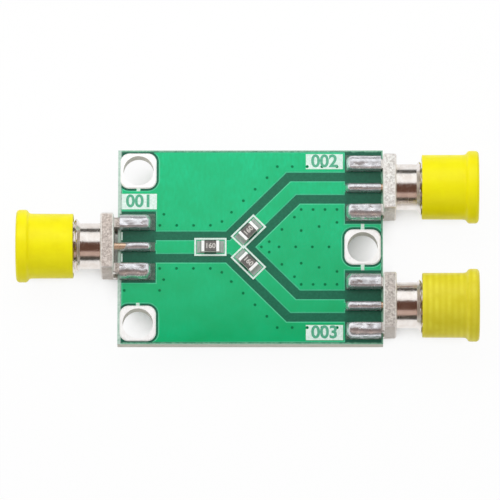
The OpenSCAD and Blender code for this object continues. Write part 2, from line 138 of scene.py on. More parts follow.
# Each port's place, turn and gap to the board; each hole's place and how far its spokes reach, and
# the width of bare tin on a spoke
PORTS = {"a": (-EDGE_X, 0.0, 180.0, PORT_A_GAP),
         "b": (EDGE_X, PORT_Y, 0.0, 0.0),
         "c": (EDGE_X, -PORT_Y, 0.0, 0.0)}
HOLES = {"upper_left": (-12.7, 8.85, 2.36),
         "lower_left": (-12.7, -8.85, 2.36),
         "right": (12.7, 0.0, 2.72)}
SPOKE_W = 0.36

# Tolerances on meshes
WELD = 0.0005 * MM
SAME_LEVEL = 0.002 * MM
SHORT_EDGE = 0.1 * MM


# Small helpers for node trees
def srgb(red, green, blue):
    """A colour as a picture stores it, 0 to 255, turned into the linear colour that shaders take."""
    def linear(value):
        share = value / 255
        return share / 12.92 if share <= 0.04045 else ((share + 0.055) / 1.055) ** 2.4
    return (linear(red), linear(green), linear(blue), 1.0)


class Shader:
    """A Principled material, and short ways to feed its inputs."""

    def __init__(self, name, metallic=0.0, roughness=0.4):
        self.material = bpy.data.materials.new(name)
        self.material.use_nodes = True
        self.tree = self.material.node_tree
        self.surface = self.tree.nodes["Principled BSDF"]
        self.set("Metallic", metallic)
        self.set("Roughness", roughness)
        texture = self.add("ShaderNodeTexCoord")
        mapping = self.add("ShaderNodeMapping")
        mapping.inputs["Scale"].default_value = (1 / MM, 1 / MM, 1 / MM)
        self.join(texture.outputs["Object"], mapping.inputs["Vector"])
        self.place = mapping.outputs["Vector"]

    def set(self, name, value):
        """A constant on one of the surface's own sockets."""
        self.surface.inputs[name].default_value = value

    def add(self, kind):
        return self.tree.nodes.new(kind)

    def join(self, source, target):
        self.tree.links.new(source, target)

    def feed(self, target, value):
        """Links an output to a socket, or writes a constant there."""
        if hasattr(value, "is_output"):
            self.join(value, target)
        else:
            target.default_value = value

    def stretched(self, x, y, z):
        """The place in millimetres, with each axis scaled."""
        mapping = self.add("ShaderNodeMapping")
        mapping.inputs["Scale"].default_value = (x, y, z)
        self.join(self.place, mapping.inputs["Vector"])
        return mapping.outputs["Vector"]

    def noise(self, scale, detail=2.0, roughness=0.5, place=None):
        node = self.add("ShaderNodeTexNoise")
        node.inputs["Scale"].default_value = scale
        node.inputs["Detail"].default_value = detail
        node.inputs["Roughness"].default_value = roughness
        self.join(place or self.place, node.inputs["Vector"])
        return node.outputs["Fac"]

    def math(self, operation, first, second=0.0):
        node = self.add("ShaderNodeMath")
        node.operation = operation
        self.feed(node.inputs[0], first)
        self.feed(node.inputs[1], second)
        return node.outputs[0]

    def absolute(self, value):
        return self.math("ABSOLUTE", value)

    def remap(self, value, low, high, to_low, to_high):
        node = self.add("ShaderNodeMapRange")
        self.join(value, node.inputs["Value"])
        node.inputs["From Min"].default_value = low
        node.inputs["From Max"].default_value = high
        node.inputs["To Min"].default_value = to_low
        node.inputs["To Max"].default_value = to_high
        return node.outputs["Result"]

    def mix(self, factor, first, second):
        node = self.add("ShaderNodeMix")
        node.data_type = "RGBA"
        self.feed(node.inputs["Factor"], factor)
        self.feed(node.inputs[6], first)
        self.feed(node.inputs[7], second)
        return node.outputs[2]

    def blend(self, value, low, high, first, second):
        """The first colour up to a low value, the second from a high one."""
        return self.mix(self.remap(value, low, high, 0.0, 1.0), first, second)

    def axes(self, vector):
        node = self.add("ShaderNodeSeparateXYZ")
        self.join(vector, node.inputs["Vector"])
        return node.outputs["X"], node.outputs["Y"], node.outputs["Z"]

    def normal(self):
        return self.add("ShaderNodeNewGeometry").outputs["Normal"]

    def outside_spokes(self):
        """0 or less inside the spokes round a screw hole, and how far away they are elsewhere."""
        x, y, _ = self.axes(self.place)
        nearest = None
        for hole_x, hole_y, spoke_end in HOLES.values():
            beside = self.absolute(self.math("SUBTRACT", x, hole_x))
            beyond = self.absolute(self.math("SUBTRACT", y, hole_y))
            beside = self.math("SUBTRACT", beside, SPOKE_W / 2)
            beyond = self.math("SUBTRACT", beyond, spoke_end)
            outside = self.math("MAXIMUM", beyond, beside)
            nearest = self.math("MINIMUM", nearest, outside) if nearest else outside
        return nearest

    def colour(self, value):
        self.feed(self.surface.inputs["Base Color"], value)

    def rough(self, value):
        self.feed(self.surface.inputs["Roughness"], value)

    def bump(self, height, distance, strength=1.0):
        """Bumps of a depth in millimetres; a second call adds to the first."""
        node = self.add("ShaderNodeBump")
        node.inputs["Distance"].default_value = distance * MM
        node.inputs["Strength"].default_value = strength
        self.join(height, node.inputs["Height"])
        target = self.surface.inputs["Normal"]
        if target.is_linked:
            self.join(target.links[0].from_socket, node.inputs["Normal"])
        self.join(node.outputs["Normal"], target)


# Materials
def mask_material(name, light, dark, deep, shine):
    """Glossy green solder mask, with the faint weave of the laminate under it, and painted light: it is
    painted lighter towards the north, where the key lamp stands. The narrow spokes that join the pour
    to the screw pads are bare tin."""
    shader = Shader(name, roughness=0.12)
    shader.set("Specular IOR Level", shine)
    broad = shader.noise(0.35, detail=4.0)
    fine = shader.noise(3.2, detail=4.0, place=shader.stretched(1.0, 0.35, 1.0))
    _, y, _ = shader.axes(shader.place)
    cloudy = shader.remap(broad, 0.3, 0.7, 0.0, 0.4)
    # Painted light: the mask is painted lighter towards the north, nearer the key lamp
    painted_north_light = shader.remap(y, -EDGE_Y, EDGE_Y, 0.0, 0.6)
    green = shader.mix(shader.math("ADD", cloudy, painted_north_light), dark, light)
    tone = shader.remap(fine, 0.3, 0.7, 0.0, 0.5)
    spoke = shader.remap(shader.outside_spokes(), 0.0, 0.02, 1.0, 0.0)
    shader.colour(shader.mix(spoke, shader.mix(tone, green, deep), srgb(206, 226, 214)))
    shader.rough(shader.remap(fine, 0.25, 0.75, 0.09, 0.15))
    shader.bump(fine, 0.004, 0.5)
    shader.bump(shader.noise(0.9, detail=2.0), 0.008, 0.35)
    return shader.material


def laminate_material():
    """Dark green where the mask lies on bare laminate, pale glass fibre at the cut edges."""
    shader = Shader("laminate", roughness=0.3)
    shader.set("Specular IOR Level", 0.3)
    x, y, _ = shader.axes(shader.place)
    _, _, up = shader.axes(shader.normal())
    wander = shader.math("MULTIPLY", shader.noise(2.4, detail=4.0), 0.22)
    to_side = shader.math("SUBTRACT", EDGE_Y, shader.absolute(y))
    to_right = shader.math("SUBTRACT", EDGE_X, x)
    to_left = shader.math("ADD", x, EDGE_X)
    near_rest = shader.math("ADD", shader.math("MINIMUM", to_side, to_right), wander)
    near_left = shader.math("ADD", to_left, wander)
    strip = shader.remap(near_rest, PALE_W, PALE_W + 0.14, 1.0, 0.0)
    left_strip = shader.remap(near_left, PALE_W_A, PALE_W_A + 0.16, 1.0, 0.0)
    footprint = shader.remap(shader.absolute(x), FIELD_START, FIELD_FULL, 0.0, 1.0)
    fine = shader.noise(4.0, detail=4.0)
    grain = shader.remap(fine, 0.3, 0.7, 0.0, 1.0)
    channel = shader.mix(grain, srgb(10, 97, 70), srgb(22, 109, 80))
    field = shader.mix(grain, srgb(11, 85, 63), srgb(23, 97, 73))
    rim = shader.mix(grain, srgb(104, 164, 134), srgb(138, 190, 162))
    left_rim = shader.mix(grain, srgb(160, 192, 176), srgb(192, 214, 202))
    top = shader.mix(strip, shader.mix(footprint, channel, field), rim)
    top = shader.mix(left_strip, top, left_rim)
    layers = shader.noise(1.0, detail=3.0, place=shader.stretched(0.6, 0.6, 14.0))
    edge = shader.blend(layers, 0.35, 0.65, srgb(192, 192, 178), srgb(222, 220, 208))
    flat = shader.remap(shader.absolute(up), 0.4, 0.8, 0.0, 1.0)
    shader.colour(shader.mix(flat, edge, top))
    shader.rough(shader.remap(flat, 0.0, 1.0, 0.75, 0.24))
    shader.bump(fine, 0.006, 0.5)
    return shader.material


def ink_material():
    """White ink, thin enough to let a little green through in places."""
    shader = Shader("white_ink", roughness=0.55)
    blot = shader.noise(6.0, detail=4.0)
    shader.colour(shader.blend(blot, 0.35, 0.7, srgb(230, 245, 238), srgb(198, 226, 213)))
    shader.bump(blot, 0.006, 0.5)
    return shader.material


def numeral_material():
    """The mask that shows where the label's ink is left open."""
    shader = Shader("numeral_mask", roughness=0.3)
    blot = shader.noise(5.0, detail=3.0)
    shader.colour(shader.blend(blot, 0.3, 0.7, srgb(64, 158, 122), srgb(88, 178, 142)))
    return shader.material


def tin_material(name, tint, worn, wave_depth):
    """Levelled tin, pale and half dull, crowned in broad waves; the wall of a hole is painted darker,
    as painted shade.
    """
    shader = Shader(name, metallic=0.2, roughness=0.42)
    _, _, up = shader.axes(shader.normal())
    wave = shader.noise(0.8, detail=2.0)
    scratch = shader.noise(9.0, detail=5.0, place=shader.stretched(1.0, 0.2, 1.0))
    flat = shader.remap(shader.absolute(up), 0.2, 0.6, 0.0, 1.0)
    face = shader.mix(shader.remap(scratch, 0.35, 0.7, 0.0, 0.6), tint, worn)
    # Painted shade: walls, such as those of the screw holes, take a darker grey
    shader.colour(shader.mix(flat, srgb(204, 202, 190), face))
    shader.rough(shader.remap(scratch, 0.3, 0.7, 0.36, 0.52))
    shader.bump(wave, wave_depth, 0.6)
    shader.bump(scratch, 0.006, 0.4)
    return shader.material


def milled_material(name, light, dark):
    """Nickel over milled brass, with a sparkling grain. The cut sides are painted darker than the
    faces, partly as duller cut metal and partly as painted shade, and the two edges of the flange carry
    a painted highlight."""
    shader = Shader(name, metallic=0.5, roughness=0.4)
    coarse = shader.noise(4.2, detail=3.0, roughness=0.65)
    grain = shader.noise(10.0, detail=4.0, roughness=0.7)
    stain = shader.noise(0.7, detail=3.0)
    coarse_share = shader.math("MULTIPLY", coarse, 0.65)
    grain_share = shader.math("MULTIPLY", grain, 0.35)
    both = shader.math("ADD", coarse_share, grain_share)
    tone = shader.blend(both, 0.38, 0.6, dark, light)
    tone = shader.mix(shader.remap(stain, 0.45, 0.8, 0.0, 0.35), tone, srgb(222, 204, 192))
    x, _, _ = shader.axes(shader.place)
    facing, side, _ = shader.axes(shader.normal())
    # Partly painted shade: the sides facing north and south are darker, partly as duller cut metal
    dull = shader.remap(shader.absolute(side), 0.5, 0.9, 0.0, 0.4)
    tone = shader.mix(dull, tone, srgb(150, 138, 126))
    # Painted highlight: the flange's front and back edges are painted near white on the faces that
    # don't face along the axis
    gap = shader.math("MULTIPLY", shader.math("LESS_THAN", x, 0.0), PORT_A_GAP)
    from_back = shader.math("SUBTRACT", shader.math("SUBTRACT", shader.absolute(x), EDGE_X), gap)
    from_front = shader.math("SUBTRACT", from_back, FLANGE_T)
    to_edge = shader.math("MINIMUM", shader.absolute(from_back), shader.absolute(from_front))
    edge_highlight = shader.remap(to_edge, 0.1, 0.2, 0.85, 0.0)
    sideways = shader.remap(shader.absolute(facing), 0.3, 0.6, 1.0, 0.0)
    worn = shader.math("MULTIPLY", edge_highlight, sideways)
    shader.colour(shader.mix(worn, tone, srgb(255, 252, 248)))
    shader.rough(shader.remap(grain, 0.3, 0.7, 0.34, 0.52))
    shader.bump(both, 0.05, 0.5)
    return shader.material


def turned_material():
    """Bright nickel with the fine rings that turning leaves."""
    shader = Shader("turned_nickel", metallic=1.0, roughness=0.2)
    rings = shader.noise(5.0, detail=4.0, place=shader.stretched(3.0, 0.05, 0.05))
    smear = shader.noise(0.9, detail=3.0)
    shader.colour(shader.blend(smear, 0.35, 0.7, srgb(244, 239, 235), srgb(232, 223, 216)))
    shader.rough(shader.remap(rings, 0.3, 0.7, 0.14, 0.28))
    shader.bump(rings, 0.004, 0.5)
    shader.bump(smear, 0.05, 0.35)
    return shader.material


def gold_material():
    """Thin pale gold plating, a little smeared."""
    shader = Shader("gold", metallic=0.7, roughness=0.25)
    smear = shader.noise(3.0, detail=4.0)
    shader.colour(shader.blend(smear, 0.3, 0.7, srgb(250, 222, 196), srgb(236, 200, 170)))
    shader.rough(shader.remap(smear, 0.3, 0.7, 0.16, 0.3))
    return shader.material


def ptfe_material():
    """Waxy white insulator."""
    shader = Shader("ptfe", roughness=0.5)
    cloud = shader.noise(2.0, detail=3.0)
    shader.colour(shader.blend(cloud, 0.3, 0.7, srgb(240, 238, 230), srgb(228, 225, 214)))
    shader.set("Subsurface Weight", 0.3)
    shader.set("Subsurface Radius", (1.0, 1.0, 0.9))
    shader.set("Subsurface Scale", 0.4 * MM)
    return shader.material


def cap_material(name, light, deep, stripes):
    """Soft yellow plastic, a little cloudy; the thread under it shows as faint stripes."""
    shader = Shader(name, roughness=0.38)
    x, _, _ = shader.axes(shader.place)
    cloud = shader.noise(0.5, detail=3.0)
    tone = shader.blend(cloud, 0.3, 0.7, light, deep)
    turn = shader.math("MULTIPLY", x, 2 * math.pi / THREAD_PITCH)
    wave = shader.remap(shader.math("SINE", turn), -1.0, 1.0, 0.0, stripes)
    shader.colour(shader.mix(wave, tone, deep))
    skin = shader.noise(5.0, detail=4.0)
    shader.rough(shader.remap(skin, 0.3, 0.7, 0.3, 0.46))
    shader.bump(skin, 0.012, 0.4)
    shader.bump(cloud, 0.08, 0.4)
    shader.set("Specular IOR Level", 0.16)
    shader.set("Subsurface Weight", 0.15)
    shader.set("Subsurface Radius", (1.0, 0.8, 0.1))
    shader.set("Subsurface Scale", 0.6 * MM)
    return shader.material


def solder_material():
    """Frozen solder: bright and uneven, with dull streaks and a trace of flux."""
    shader = Shader("solder", metallic=0.85, roughness=0.24)
    ripple = shader.noise(1.1, detail=1.0, place=shader.stretched(0.7, 1.3, 1.0))
    dull = shader.noise(2.0, detail=2.0)
    tone = shader.blend(dull, 0.35, 0.65, srgb(242, 243, 247), srgb(214, 215, 220))
    flux = shader.remap(shader.noise(0.8, detail=2.0), 0.58, 0.78, 0.0, 0.3)
    shader.colour(shader.mix(flux, tone, srgb(176, 168, 150)))
    shader.rough(shader.remap(dull, 0.3, 0.7, 0.24, 0.38))
    shader.bump(ripple, 0.05, 0.5)
    shader.bump(shader.noise(1.7, detail=2.0, roughness=0.6), 0.09, 0.6)
    return shader.material


def flux_and_shade_material():
    """Dark colour round the foot of a solder joint: partly flux residue, partly painted shade."""
    shader = Shader("flux", roughness=0.45)
    stain = shader.noise(3.0, detail=4.0)
    shader.colour(shader.blend(stain, 0.3, 0.7, srgb(50, 82, 68), srgb(84, 112, 96)))
    shader.bump(stain, 0.02, 0.4)
    return shader.material


def alumina_material():
    """The white ceramic of a chip resistor."""
    shader = Shader("alumina", roughness=0.55)
    speck = shader.noise(9.0, detail=4.0)
    shader.colour(shader.blend(speck, 0.3, 0.7, srgb(236, 234, 228), srgb(218, 215, 207)))
    shader.bump(speck, 0.008, 0.5)
    return shader.material


def coat_material():
    """The dark coat over a chip resistor's film."""
    shader = Shader("dark_coat", roughness=0.32)
    speck = shader.noise(6.0, detail=4.0)
    shader.colour(shader.blend(speck, 0.3, 0.7, srgb(80, 78, 75), srgb(112, 109, 105)))
    shader.rough(shader.remap(speck, 0.3, 0.7, 0.25, 0.45))
    shader.bump(speck, 0.01, 0.5)
    return shader.material


def mark_material():
    """The pale print on a chip resistor."""
    shader = Shader("pale_mark", roughness=0.6)
    speck = shader.noise(12.0, detail=3.0)
    shader.colour(shader.blend(speck, 0.3, 0.7, srgb(216, 212, 206), srgb(182, 178, 172)))
    return shader.material


MASK = mask_material("solder_mask", srgb(5, 199, 136), srgb(3, 165, 97), srgb(4, 172, 106), 0.34)
# Painted highlight: the sloped walls of the mask over the copper's edges take a paler green
MASK_RIM_HIGHLIGHT = mask_material("solder_mask_rim_highlight", srgb(84, 208, 158), srgb(70, 194, 142),
                          srgb(60, 188, 136), 0.34)
# Painted shade: a darker, duller green for the walls and floors of the vias
MASK_VIA_SHADE = mask_material("solder_mask_via_shade", srgb(4, 128, 78), srgb(3, 119, 71), srgb(2, 108, 62), 0.1)
LAMINATE = laminate_material()
INK = ink_material()
NUMERAL = numeral_material()
TIN = tin_material("levelled_tin", srgb(255, 254, 253), srgb(240, 237, 236), 0.1)
CHIP_TIN = tin_material("chip_tin", srgb(252, 253, 252), srgb(236, 240, 237), 0.04)
CHIP_SOLDER = tin_material("chip_solder", srgb(168, 180, 173), srgb(128, 142, 134), 0.1)
# Painted light: the three flanges are one metal, painted in three tones, lightest on port B on the
# north side
MILLED_PAINTED_LIGHT = {"a": milled_material("milled_nickel_a_painted_light", srgb(230, 221, 213), srgb(160, 147, 139)),
          "b": milled_material("milled_nickel_b_painted_light", srgb(252, 252, 248), srgb(186, 180, 174)),
          "c": milled_material("milled_nickel_c_painted_light", srgb(234, 229, 222), srgb(164, 155, 148))}
# Painted highlight: a paler copy of the metal for the flanges' chamfers
MILLED_EDGE_HIGHLIGHT = milled_material("milled_nickel_edge_highlight", srgb(255, 252, 249), srgb(232, 225, 220))
TURNED = turned_material()
GOLD = gold_material()
PTFE = ptfe_material()
SOLDER = solder_material()
FLUX_AND_SHADE = flux_and_shade_material()
ALUMINA = alumina_material()
COAT = coat_material()
MARK = mark_material()
# Partly painted light: the caps are one yellow plastic, and their tones differ per port partly in tint
# and partly as painted light
CAPS_TINT_AND_LIGHT = {"a": cap_material("cap_plastic_a", srgb(246, 235, 10), srgb(239, 226, 5), 0.15),
        "b": cap_material("cap_plastic_b", srgb(246, 236, 7), srgb(240, 228, 4), 0.12),
        "c": cap_material("cap_plastic_c", srgb(241, 231, 70), srgb(222, 207, 38), 0.7)}


# Helpers for meshes
def port_matrix(port, gap=True):
    """From a port's own millimetres, +X out of the board, to the row frame. With the gap, x = 0 is the
    connector's back face, and without it the board's edge. z = 0 is the connector's axis."""
    x, y, turn, out = PORTS[port]
    along = out if gap else 0.0
    place = Matrix.Translation((x, y, AXIS_Z)) @ Matrix.Rotation(math.radians(turn), 4, "Z")
    return Matrix.Scale(MM, 4) @ place @ Matrix.Translation((along, 0.0, 0.0))


def chip_matrix(port):
    """From a resistor's own millimetres, +X away from the star, to the row frame."""
    turn = Matrix.Rotation(math.radians(CHIP_TURNS[port]), 4, "Z")
    place = Matrix.Translation((STAR_X, 0.0, 0.0)) @ turn
    return Matrix.Scale(MM, 4) @ place @ Matrix.Translation((CHIP_OFFSET, 0.0, 0.0))


def piece(name, bm, materials, body, replaced=(), sharp=32.0):
    """Makes a mesh in the row frame into a piece that rides on a body. Edges sharper than an angle in
    degrees stay sharp."""
    mesh = bpy.data.meshes.new(name)
    bm.normal_update()
    bm.to_mesh(mesh)
    bm.free()
    for material in materials:
        mesh.materials.append(material)
    mesh.polygons.foreach_set("use_smooth", [True] * len(mesh.polygons))
    mesh.set_sharp_from_angle(angle=math.radians(sharp))
    obj = bpy.data.objects.new(name, mesh)
    scene.collection.objects.link(obj)
    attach(obj, body)
    if replaced:
        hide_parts(*replaced)
    return obj


def append(bm, other):
    """Adds one mesh in the making to another, and frees it."""
    mesh = bpy.data.meshes.new("part")
    other.to_mesh(mesh)
    other.free()
    bm.from_mesh(mesh)
    bpy.data.meshes.remove(mesh)


def lathe(bm, rings, segments, material=0, closed=False):
    """Turns rings about the X axis. A ring is a place along X and a radius, or a function of the angle
    that gives the radius. A radius of 0 makes a pole."""
    made = []
    for x, radius in rings:
        if radius == 0:
            made.append([bm.verts.new((x, 0.0, 0.0))])
            continue
        row = []
        for i in range(segments):
            angle = 2 * math.pi * i / segments
            r = radius(angle) if callable(radius) else radius
            row.append(bm.verts.new((x, r * math.cos(angle), r * math.sin(angle))))
        made.append(row)
    pairs = list(zip(made, made[1:]))
    if closed:
        pairs.append((made[-1], made[0]))
    for first, second in pairs:
        for i in range(segments):
            j = (i + 1) % segments
            near = [first[i % len(first)], first[j % len(first)]]
            far = [second[j % len(second)], second[i % len(second)]]
            face = bm.faces.new(list(dict.fromkeys(near + far)))
            face.material_index = material


def arc(x, r, size, start, end, steps=6):
    """Points on a rounded edge of a turned profile, from one angle to another in degrees."""
    angles = [math.radians(start + (end - start) * i / steps) for i in range(steps + 1)]
    return [(x + size * math.cos(a), r + size * math.sin(a)) for a in angles]


# Connectors
def thread_radius(x):
    """The radius round the barrel at a place along the thread, as a function of the angle."""
    half_crest = 0.125
    flank = 0.625

    def radius(angle):
        phase = (x / THREAD_PITCH - angle / (2 * math.pi)) % 1.0
        from_crest = abs(2 * phase - 1)
        depth = min(max((from_crest - half_crest) / flank, 0.0), 1.0) * THREAD_DEPTH
        cone = NECK_R + (x - NECK_END) / (RUN_OUT_END - NECK_END) * (THREAD_R - NECK_R)
        tip = THREAD_R - max(x - (TIP_X - TIP_CHAMFER), 0.0)
        return min(THREAD_R - depth, cone, tip)
    return radius


def barrel(matrix):
    """The turned neck, the thread and the stepped bore behind its mouth."""
    rows = 84
    segments = 72
    neck = [BARREL_ROOT, FLANGE_T + 0.02, FLANGE_T + 0.6, NECK_END - 0.05]
    rings = [(x, NECK_R) for x in neck]
    for i in range(rows + 1):
        x = NECK_END + (TIP_X - NECK_END) * i / rows
        rings.append((x, thread_radius(x)))
    rings += [(TIP_X, MOUTH_R + MOUTH_BEVEL), (TIP_X - MOUTH_BEVEL, MOUTH_R)]
    rings += [(SEAT_X, MOUTH_R), (SEAT_X, BORE_R), (BARREL_ROOT, BORE_R)]
    bm = bmesh.new()
    lathe(bm, rings, segments, material=1, closed=True)
    bmesh.ops.recalc_face_normals(bm, faces=bm.faces)
    bm.transform(matrix)
    return bm


def connector_body(port):
    """The milled flange and legs from the solid, and a barrel with its real thread. The ends of the
    legs are drawn back a little, inside their solder."""
    matrix = port_matrix(port)
    out = (matrix.to_3x3() @ Vector((1.0, 0.0, 0.0))).normalized()
    front = matrix @ Vector((BARREL_CUT, 0.0, 0.0))
    bm = bmesh.new()
    bm.from_mesh(nodes[f"port_{port}_body"].data)
    bmesh.ops.remove_doubles(bm, verts=bm.verts, dist=WELD)
    geometry = bm.verts[:] + bm.edges[:] + bm.faces[:]
    bmesh.ops.bisect_plane(bm, geom=geometry, plane_co=front, plane_no=out, clear_outer=True)
    for vert in bm.verts:
        if (vert.co - front).dot(out) < -(FLANGE_T + LEG_END_ZONE) * MM:
            vert.co += out * LEG_CUT * MM
    bm.normal_update()
    # Chamfers face along none of the axes, and take a paler copy of the metal as a painted highlight
    for face in bm.faces:
        face.material_index = 2 if max(abs(c) for c in face.normal) < 0.9 else 0
    append(bm, barrel(matrix))
    metals = [MILLED_PAINTED_LIGHT[port], TURNED, MILLED_EDGE_HIGHLIGHT]
    piece(f"port_{port}_shell", bm, metals, "splitter", [f"port_{port}_body"], sharp=24.0)


def cap_profile():
    """Half a section of a cap: from the middle of its dished end with the gate mark, round the grip
    rim, along the wall to the mouth, and back inside."""
    gate = [(CAP_END - 0.1, 0), (CAP_END - 0.1, 0.22), (CAP_END - 0.02, 0.34), (CAP_END - 0.06, 0.6)]
    dish = [(CAP_END - 0.06, 2.9), (CAP_END - 0.01, 3.3)]
    rim = arc(CAP_END - RIM_ROUND, RIM_R - RIM_ROUND, RIM_ROUND, 0, 90)
    rim += arc(RIM_START + RIM_ROUND, RIM_R - RIM_ROUND, RIM_ROUND, 90, 150)
    fillet = [(RIM_START - 0.04, CAP_R + 0.12), (RIM_START - 0.16, CAP_R + 0.05)]
    fillet += [(RIM_START - 0.34, CAP_R + 0.01), (RIM_START - 0.6, CAP_R)]
    wall = [(CAP_MOUTH + 2.4, CAP_R - 0.005), (CAP_MOUTH + 0.6, CAP_R - 0.01)]
    lip = arc(CAP_MOUTH + CAP_LIP, CAP_R - CAP_LIP - 0.01, CAP_LIP, 90, 180)
    lip += [(CAP_MOUTH, CAP_BORE_R + CAP_LIP), (CAP_MOUTH + CAP_LIP, CAP_BORE_R)]
    bore = [(CAP_MOUTH + 3.0, CAP_BORE_R), (CAP_INNER_END - 0.3, CAP_BORE_R)]
    bore += [(CAP_INNER_END - 0.08, CAP_BORE_R - 0.08), (CAP_INNER_END, CAP_BORE_R - 0.3)]
    inner_end = [(CAP_INNER_END, 1.2), (CAP_INNER_END, 0)]
    return gate + dish + rim + fillet + wall + lip + bore + inner_end


def cap(port):
    """A push-on cap. The one on port A isn't pushed on quite as far as the others."""
    segments = 112
    bm = bmesh.new()
    lathe(bm, cap_profile(), segments)
    bmesh.ops.recalc_face_normals(bm, faces=bm.faces)
    out = CAP_A_OUT if port == "a" else 0.0
    bm.transform(port_matrix(port) @ Matrix.Translation((out, 0.0, 0.0)))
    plastic = [CAPS_TINT_AND_LIGHT[port]]
    piece(f"port_{port}_dust_cap", bm, plastic, f"cap_{port}", [f"port_{port}_cap"],
          sharp=50.0)


# Copper under its mask
def is_short(edge):
    """Short edges belong to vias and to the rounded corners of pads."""
    return edge.calc_length() < SHORT_EDGE


def is_level(edge):
    return abs(edge.verts[0].co.z - edge.verts[1].co.z) < SAME_LEVEL


def is_wall(face):
    return abs(face.normal.z) < 0.3


def rim_edges(vert):
    """The level edges at a corner that border a wall."""
    return [e for e in vert.link_edges if is_level(e) and any(is_wall(f) for f in e.link_faces)]


def wall_moves(bm, levels, inset, via_inset):
    """How far each corner of the flat faces moves in, so that the walls under it slope."""
    moves = {}
    for vert in bm.verts:
        if min(abs(vert.co.z - level) for level in levels) > SAME_LEVEL:
            continue
        walls = [f.normal for f in vert.link_faces if is_wall(f)]
        if not walls:
            continue
        first = walls[0]
        second = min(walls, key=lambda n: n.dot(first))
        width = via_inset if all(is_short(e) for e in rim_edges(vert)) else inset
        moves[vert] = -(first + second) / max(1.0 + first.dot(second), 0.3) * width * MM
    return moves


def draped(node, inset, via_inset, both=False):
    """A copy of a flat solid whose top edges slope in, as mask does over etched copper. The walls take
    the second material, a paler green as a painted highlight, and the walls of vias the third, a darker
    green as painted shade."""
    bm = bmesh.new()
    bm.from_mesh(nodes[node].data)
    bmesh.ops.remove_doubles(bm, verts=bm.verts, dist=WELD)
    bmesh.ops.recalc_face_normals(bm, faces=bm.faces)
    bm.normal_update()
    heights = [v.co.z for v in bm.verts]
    levels = [max(heights)] + ([min(heights)] if both else [])
    for face in bm.faces:
        face.material_index = 0
        if is_wall(face):
            face.material_index = 2 if any(is_level(e) and is_short(e) for e in face.edges) else 1
    flats = [f for f in bm.faces if abs(f.normal.z) > 0.9
             and min(abs(f.calc_center_median().z - level) for level in levels) < SAME_LEVEL]
    flat_set = set(flats)
    rims = [e for e in bm.edges if sum(f in flat_set for f in e.link_faces) == 1]
    moves = wall_moves(bm, levels, inset, via_inset)
    bmesh.ops.delete(bm, geom=flats, context="FACES_KEEP_BOUNDARY")
    for vert, move in moves.items():
        vert.co += move
    for level in levels:
        edges = [e for e in rims if abs(e.verts[0].co.z - level) < SAME_LEVEL]
        bmesh.ops.triangle_fill(bm, use_beauty=True, use_dissolve=False, edges=edges)
    bmesh.ops.recalc_face_normals(bm, faces=bm.faces)
    return bm


def plug_vias_with_shade(bm, depth):
    """Closes each via a little under the mask's top with the dark via green, painted shade in the hole.
    A via is a ring of short rim edges, and a rounded corner has fewer of them."""
    fewest = 6
    low = Vector((0.0, 0.0, -depth * MM))
    top = max(v.co.z for v in bm.verts)
    upper = [v for v in bm.verts if abs(v.co.z - top) < SAME_LEVEL]
    left = {v for v in upper if all(is_short(e) for e in rim_edges(v))}
    while left:
        ring = {left.pop()}
        border = set(ring)
        while border:
            border = {e.other_vert(v) for v in border for e in v.link_edges if is_short(e)} & left
            left -= border
            ring |= border
        if len(ring) < fewest:
            continue
        middle = sum((v.co for v in ring), Vector()) / len(ring)
        around = sorted(ring, key=lambda v: math.atan2(v.co.y - middle.y, v.co.x - middle.x))
        face = bm.faces.new([bm.verts.new(v.co + low + (v.co - middle) * 0.05) for v in around])
        face.material_index = 2


def copper():
    """The traces and the pour under their mask, and the tinned pads of the screw holes."""
    mask = [MASK, MASK_RIM_HIGHLIGHT, MASK_VIA_SHADE]
    slope = 0.13
    via_flare = 0.02
    via_depth = 0.03
    pad_slope = 0.12
    hole_slope = 0.1
    for node in ["star_junction_trace"] + [f"port_{p}_trace" for p in PORTS]:
        trace = draped(node, slope, slope)
        piece(f"{node}_mask", trace, mask, "splitter", [node], sharp=12.0)
    pour = draped("top_ground_pour", slope, -via_flare)
    plug_vias_with_shade(pour, via_depth)
    piece("top_ground_pour_mask", pour, mask, "splitter", ["top_ground_pour"], sharp=12.0)
    for hole in HOLES:
        node = f"{hole}_mounting_pad"
        pad = draped(node, pad_slope, hole_slope, both=True)
        piece(f"{node}_tin", pad, [TIN, TIN, TIN], "splitter", [node])


# Solder
def smooth(value, start, end):
    """A soft step from 0 at the start to 1 at the end."""
    share = min(max((value - start) / (end - start), 0.0), 1.0)
    return share * share * (3 - 2 * share)


def shoulder(value, start, full):
    """A quarter round: 0 at the start, 1 once it is full."""
    share = min(max((value - start) / (full - start), 0.0), 1.0)
    return math.sqrt(1.0 - (1.0 - share) ** 2)


def mound(value, start, full):
    """A flank of solder: a short fillet at the start, then a quarter round."""
    return shoulder(value, start, full) * math.sqrt(smooth(value, start, start + 0.25 * (full - start)))


